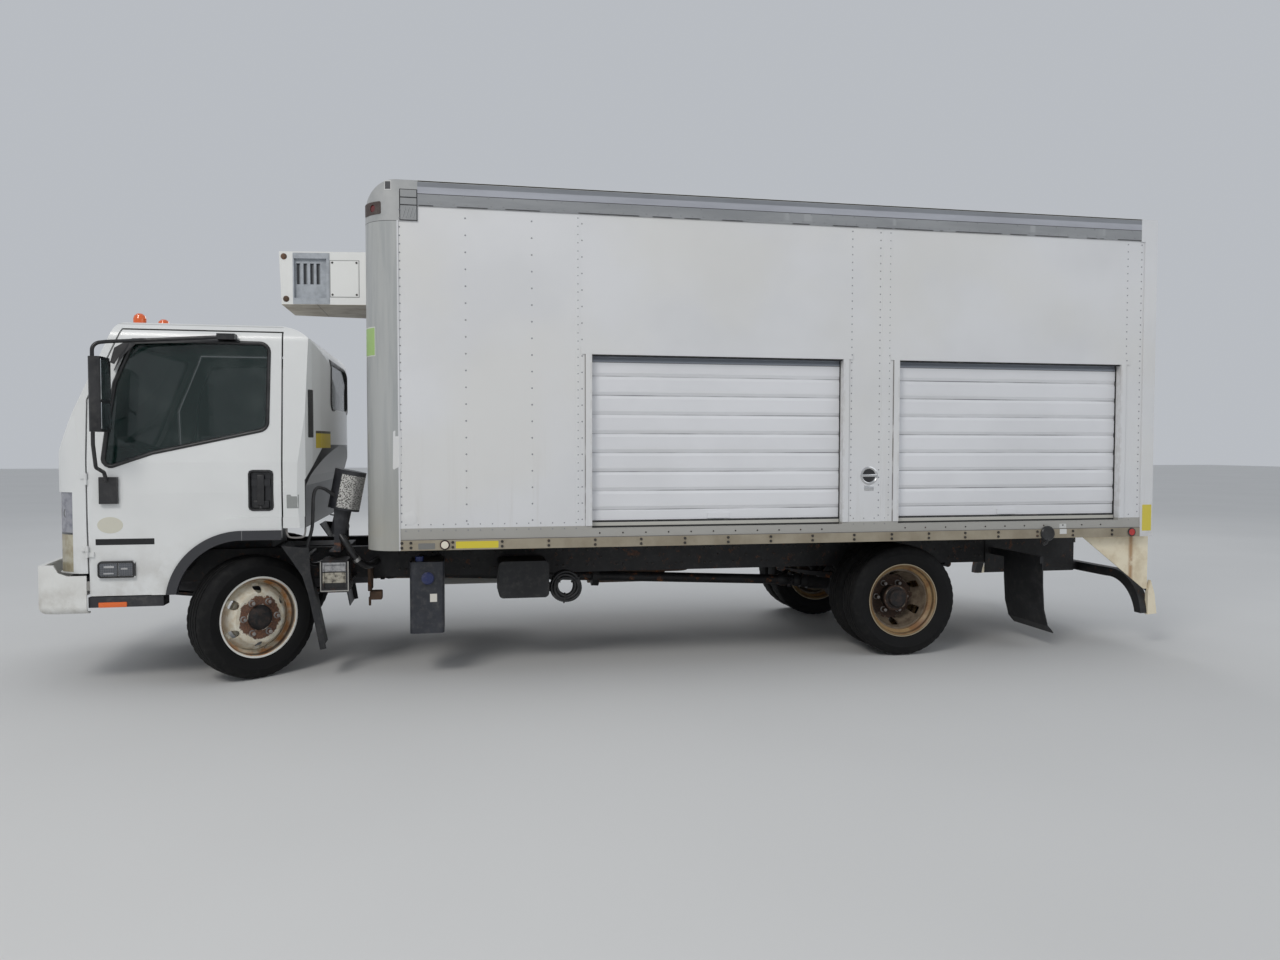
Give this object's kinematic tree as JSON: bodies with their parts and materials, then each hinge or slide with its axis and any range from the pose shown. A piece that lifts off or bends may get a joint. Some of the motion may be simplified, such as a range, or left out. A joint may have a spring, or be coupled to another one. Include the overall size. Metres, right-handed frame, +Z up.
{
  "type": "box truck",
  "caption": "Forward-control box truck with a tilting cab, steered front wheels, twin rear wheels and a rigid cooled body with slatted roll-up side doors.",
  "frame": {"origin": "on the ground, on the centreline, at mid length", "axes": "+X towards the tail, +Y towards the right-hand side of the truck, +Z up"},
  "size_m": [7.6298, 2.594, 3.126],
  "materials": {
    "cab_paint": "gloss",
    "body_paint": "satin",
    "unit_paint": "satin",
    "glass": "gloss",
    "lamp_lens": "gloss",
    "red_lens": "gloss",
    "black_steel": "satin",
    "grey_iron": "rough",
    "dark_plastic": "matte",
    "black_plastic": "matte",
    "black_rubber": "matte",
    "seat_fabric": "matte",
    "wheel_paint": "satin",
    "tyre": "matte",
    "rail_metal": "satin",
    "grey_paint": "satin",
    "rusty_steel": "rough"
  },
  "bodies": {
    "chassis": {"air_cleaner": "black_steel", "battery_box": "grey_paint", "body_lamps": "red_lens", "box_floor": "rail_metal", "box_front_wall": "body_paint", "box_rear_frame": "body_paint", "box_roof": "body_paint", "box_side_left": "body_paint", "box_side_right": "body_paint", "engine": "grey_iron", "exhaust": "rusty_steel", "fridge_unit": "unit_paint", "front_axle": "black_steel", "front_bumper": "cab_paint", "fuel_tank": "grey_paint", "ladder_frame": "black_steel", "leaf_springs": "black_steel", "mudguards": "black_rubber", "rear_axle": "black_steel", "rear_bumper": "black_steel", "rear_roll_door": "body_paint", "reservoir_tank": "black_plastic", "side_roll_doors": "body_paint", "tool_box": "black_plastic"},
    "cab": {"cab_shell": "cab_paint", "cab_front_panel": "cab_paint", "cab_glass": "glass", "cab_lamps": "lamp_lens", "cab_floor": "black_steel", "dashboard": "dark_plastic", "seats": "seat_fabric"},
    "door_left": {"door_left": "cab_paint", "door_glass_left": "glass", "mirror_left": "black_plastic"},
    "door_right": {"door_right": "cab_paint", "door_glass_right": "glass", "mirror_right": "black_plastic"},
    "knuckle_left": {"knuckle_left": "black_steel"},
    "knuckle_right": {"knuckle_right": "black_steel"},
    "tie_rod": {"tie_rod": "black_steel"},
    "wheel_front_left": {"front_rim_left": "wheel_paint", "front_tyre_left": "tyre"},
    "wheel_front_right": {"front_rim_right": "wheel_paint", "front_tyre_right": "tyre"},
    "wheel_rear_left": {"rear_rims_left": "wheel_paint", "rear_tyres_left": "tyre"},
    "wheel_rear_right": {"rear_rims_right": "wheel_paint", "rear_tyres_right": "tyre"}
  },
  "joints": [
    {"name": "steer_left", "type": "hinge", "parent": "chassis", "child": "knuckle_left", "pos_m": [-2.615, -0.745, 0.395], "axis": [0, 0, 1], "range_deg": [-78, 2]},
    {"name": "steer_right", "type": "hinge", "parent": "chassis", "child": "knuckle_right", "pos_m": [-2.615, 0.745, 0.395], "axis": [0, 0, 1], "range_deg": [-78, 2]},
    {"name": "tie_rod_pivot", "type": "hinge", "parent": "knuckle_left", "child": "tie_rod", "pos_m": [-2.48104, -0.64034, 0.288], "axis": [0, 0, 1], "range_deg": [-2, 78]},
    {"name": "wheel_front_left_spin", "type": "hinge", "parent": "knuckle_left", "child": "wheel_front_left", "pos_m": [-2.56144, -0.81356, 0.395], "axis": [-0.6157, 0.788, 0], "continuous": true},
    {"name": "wheel_front_right_spin", "type": "hinge", "parent": "knuckle_right", "child": "wheel_front_right", "pos_m": [-2.66856, 0.81356, 0.395], "axis": [-0.6157, 0.788, 0], "continuous": true},
    {"name": "wheel_rear_left_spin", "type": "hinge", "parent": "chassis", "child": "wheel_rear_left", "pos_m": [1.855, -0.825, 0.395], "axis": [0, 1, 0], "continuous": true},
    {"name": "wheel_rear_right_spin", "type": "hinge", "parent": "chassis", "child": "wheel_rear_right", "pos_m": [1.855, 0.825, 0.395], "axis": [0, 1, 0], "continuous": true},
    {"name": "cab_tilt", "type": "hinge", "parent": "chassis", "child": "cab", "pos_m": [-3.515, 0, 0.8], "axis": [0, -1, 0], "range_deg": [0, 45]},
    {"name": "door_left_hinge", "type": "hinge", "parent": "cab", "child": "door_left", "pos_m": [-3.463, -1.021, 1.3], "axis": [0, 0, -1], "range_deg": [0, 62]},
    {"name": "door_right_hinge", "type": "hinge", "parent": "cab", "child": "door_right", "pos_m": [-3.463, 1.021, 1.3], "axis": [0, 0, 1], "range_deg": [0, 62]}
  ],
  "couplings": [
    {"joint": "steer_right", "follows": "steer_left", "ratio": 1},
    {"joint": "tie_rod_pivot", "follows": "steer_left", "ratio": -1}
  ]
}
